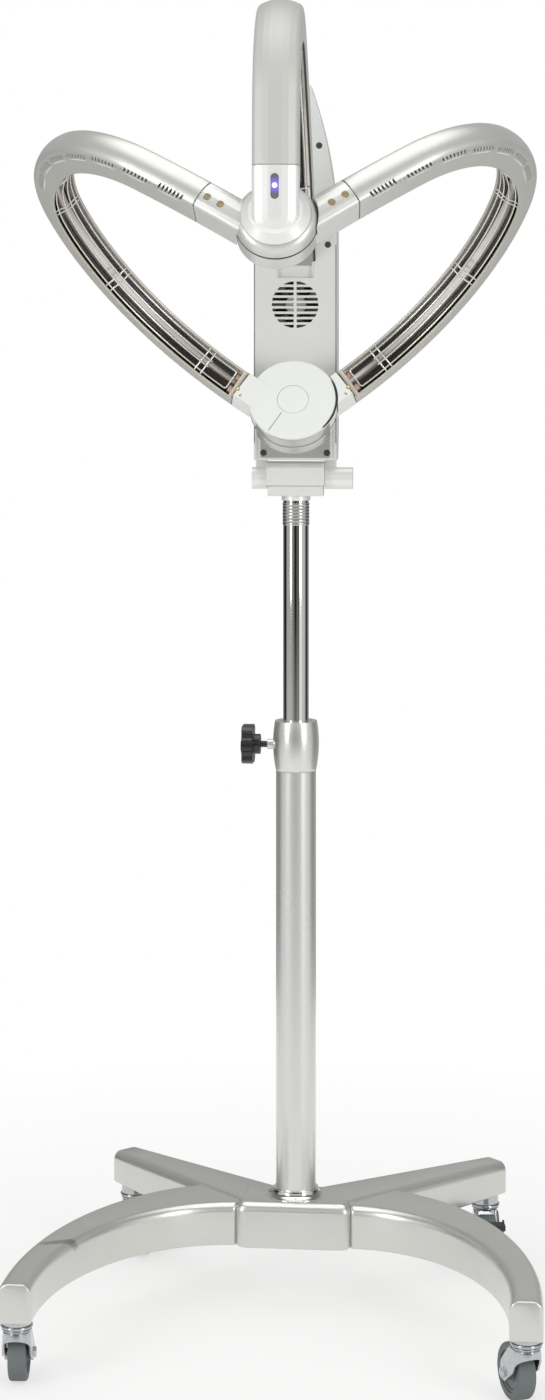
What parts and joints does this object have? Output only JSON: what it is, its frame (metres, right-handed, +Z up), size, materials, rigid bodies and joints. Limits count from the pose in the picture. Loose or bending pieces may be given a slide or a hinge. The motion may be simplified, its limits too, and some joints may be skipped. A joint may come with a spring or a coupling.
{
  "type": "hair color processor",
  "caption": "Salon infrared hair color processor: three curved lamp arms hinged at a front and a rear hub, on a tilting housing and a telescopic castered stand.",
  "frame": {"origin": "on the floor, at the middle of the whole object's box", "axes": "+Z up, front hub and curved front legs towards -Y, +X to the right when seen from the front"},
  "size_m": [0.6243, 0.6929, 1.5855],
  "materials": {
    "silver_paint": "satin metallic lacquer over a steel pressing",
    "silver_plastic": "satin metallic lacquer over moulded plastic",
    "chrome": "polished plating",
    "zinc": "bright zinc plating",
    "steel": "turned",
    "base_alloy": "satin metallic lacquer over a casting",
    "reflector": "mirror polished sheet",
    "quartz": "dark quartz glass",
    "wire": "plated wire",
    "black_plastic": "fine moulded texture",
    "grey_plastic": "moulded",
    "pale_plastic": "smooth moulded",
    "core": "moulded",
    "tyre": "grey rubber",
    "board": "circuit laminate",
    "window": "tinted clear window",
    "brass": "passivated screws"
  },
  "bodies": {
    "stand": {"base_frame": "base_alloy", "column_tube": "silver_paint", "foot_ring": "chrome", "column_collar": "silver_paint", "caster_races": "zinc"},
    "knob": {"clamp_knob": "black_plastic"},
    "mast": {"mast_tube": "chrome", "mast_band": "steel", "tilt_block": "silver_paint"},
    "head": {"tilt_axle": "steel", "tilt_barrels": "silver_paint", "body_front": "silver_plastic", "body_rear": "silver_plastic", "fan_frame": "black_plastic", "circuit_board": "board", "control_panel": "black_plastic", "display_window": "window", "power_inlet": "black_plastic", "housing_screws": "steel", "rear_pivot": "pale_plastic", "front_pivot": "steel", "crown_shell": "silver_plastic", "crown_reflector": "reflector", "crown_quartz": "quartz", "crown_guard": "wire", "crown_cap": "silver_plastic", "status_window": "window"},
    "fan": {"fan_rotor": "grey_plastic"},
    "up_key": {"key_up": "grey_plastic"},
    "down_key": {"key_down": "grey_plastic"},
    "start_key": {"key_start": "grey_plastic"},
    "left_arm": {"left_shell": "silver_plastic", "left_reflector": "reflector", "left_quartz": "quartz", "left_guard": "wire", "left_socket": "silver_plastic", "left_plate": "pale_plastic", "left_screws": "brass"},
    "right_arm": {"right_shell": "silver_plastic", "right_reflector": "reflector", "right_quartz": "quartz", "right_guard": "wire", "right_socket": "silver_plastic", "right_plate": "pale_plastic", "right_screws": "brass"},
    "caster_fl": {"fork_fl": "zinc"},
    "wheel_fl": {"core_fl": "core", "tyre_fl": "tyre"},
    "caster_fr": {"fork_fr": "zinc"},
    "wheel_fr": {"core_fr": "core", "tyre_fr": "tyre"},
    "caster_rl": {"fork_rl": "zinc"},
    "wheel_rl": {"core_rl": "core", "tyre_rl": "tyre"},
    "brake_rl": {"pedal_rl": "black_plastic"},
    "caster_rr": {"fork_rr": "zinc"},
    "wheel_rr": {"core_rr": "core", "tyre_rr": "tyre"},
    "brake_rr": {"pedal_rr": "black_plastic"}
  },
  "joints": [
    {"name": "knob_turn", "type": "hinge", "parent": "stand", "child": "knob", "pos_m": [-0.05, 0.134, 0.694], "axis": [-1, 0, 0], "range_deg": [-180, 180]},
    {"name": "mast_height", "type": "slide", "parent": "stand", "child": "mast", "axis": [0, 0, 1], "range_m": [-0.22, 0.11]},
    {"name": "head_tilt", "type": "hinge", "parent": "mast", "child": "head", "pos_m": [0, 0.134, 1.027], "axis": [0.999, 0.0436, 0], "range_deg": [-15, 20]},
    {"name": "left_arm_swing", "type": "hinge", "parent": "head", "child": "left_arm", "pos_m": [0.01095, -0.11676, 1.223], "axis": [0.0382, -0.8738, 0.4848], "range_deg": [-15, 30]},
    {"name": "right_arm_swing", "type": "hinge", "parent": "head", "child": "right_arm", "pos_m": [0.01095, -0.11676, 1.223], "axis": [0.0382, -0.8738, 0.4848], "range_deg": [-30, 15]},
    {"name": "fan_spin", "type": "hinge", "parent": "head", "child": "fan", "pos_m": [0.00017, 0.13, 1.2435], "axis": [-0.0436, 0.999, 0], "continuous": true},
    {"name": "up_key_press", "type": "slide", "parent": "head", "child": "up_key", "axis": [0.0436, -0.999, 0], "range_m": [0, 0.0012], "stiffness_N_per_m": 250},
    {"name": "down_key_press", "type": "slide", "parent": "head", "child": "down_key", "axis": [0.0436, -0.999, 0], "range_m": [0, 0.0012], "stiffness_N_per_m": 250},
    {"name": "start_key_press", "type": "slide", "parent": "head", "child": "start_key", "axis": [0.0436, -0.999, 0], "range_m": [0, 0.0012], "stiffness_N_per_m": 250},
    {"name": "swivel_fl", "type": "hinge", "parent": "stand", "child": "caster_fl", "pos_m": [-0.291, -0.196, 0.055], "axis": [0, 0, 1], "continuous": true},
    {"name": "roll_fl", "type": "hinge", "parent": "caster_fl", "child": "wheel_fl", "pos_m": [-0.29281, -0.17006, 0.032], "axis": [0.9976, 0.0698, 0], "continuous": true},
    {"name": "swivel_fr", "type": "hinge", "parent": "stand", "child": "caster_fr", "pos_m": [0.291, -0.196, 0.055], "axis": [0, 0, 1], "continuous": true},
    {"name": "roll_fr", "type": "hinge", "parent": "caster_fr", "child": "wheel_fr", "pos_m": [0.2796, -0.17263, 0.032], "axis": [0.8988, 0.4384, 0], "continuous": true},
    {"name": "swivel_rl", "type": "hinge", "parent": "stand", "child": "caster_rl", "pos_m": [-0.231, 0.318, 0.055], "axis": [0, 0, 1], "continuous": true},
    {"name": "roll_rl", "type": "hinge", "parent": "caster_rl", "child": "wheel_rl", "pos_m": [-0.22084, 0.29407, 0.032], "axis": [-0.9205, -0.3907, 0], "continuous": true},
    {"name": "brake_rl_press", "type": "hinge", "parent": "caster_rl", "child": "brake_rl", "pos_m": [-0.22084, 0.29407, 0.032], "axis": [-0.9205, -0.3907, 0], "range_deg": [-8, 6]},
    {"name": "swivel_rr", "type": "hinge", "parent": "stand", "child": "caster_rr", "pos_m": [0.231, 0.318, 0.055], "axis": [0, 0, 1], "continuous": true},
    {"name": "roll_rr", "type": "hinge", "parent": "caster_rr", "child": "wheel_rr", "pos_m": [0.23462, 0.29225, 0.032], "axis": [-0.9903, -0.1392, 0], "continuous": true},
    {"name": "brake_rr_press", "type": "hinge", "parent": "caster_rr", "child": "brake_rr", "pos_m": [0.23462, 0.29225, 0.032], "axis": [-0.9903, -0.1392, 0], "range_deg": [-8, 6]}
  ]
}
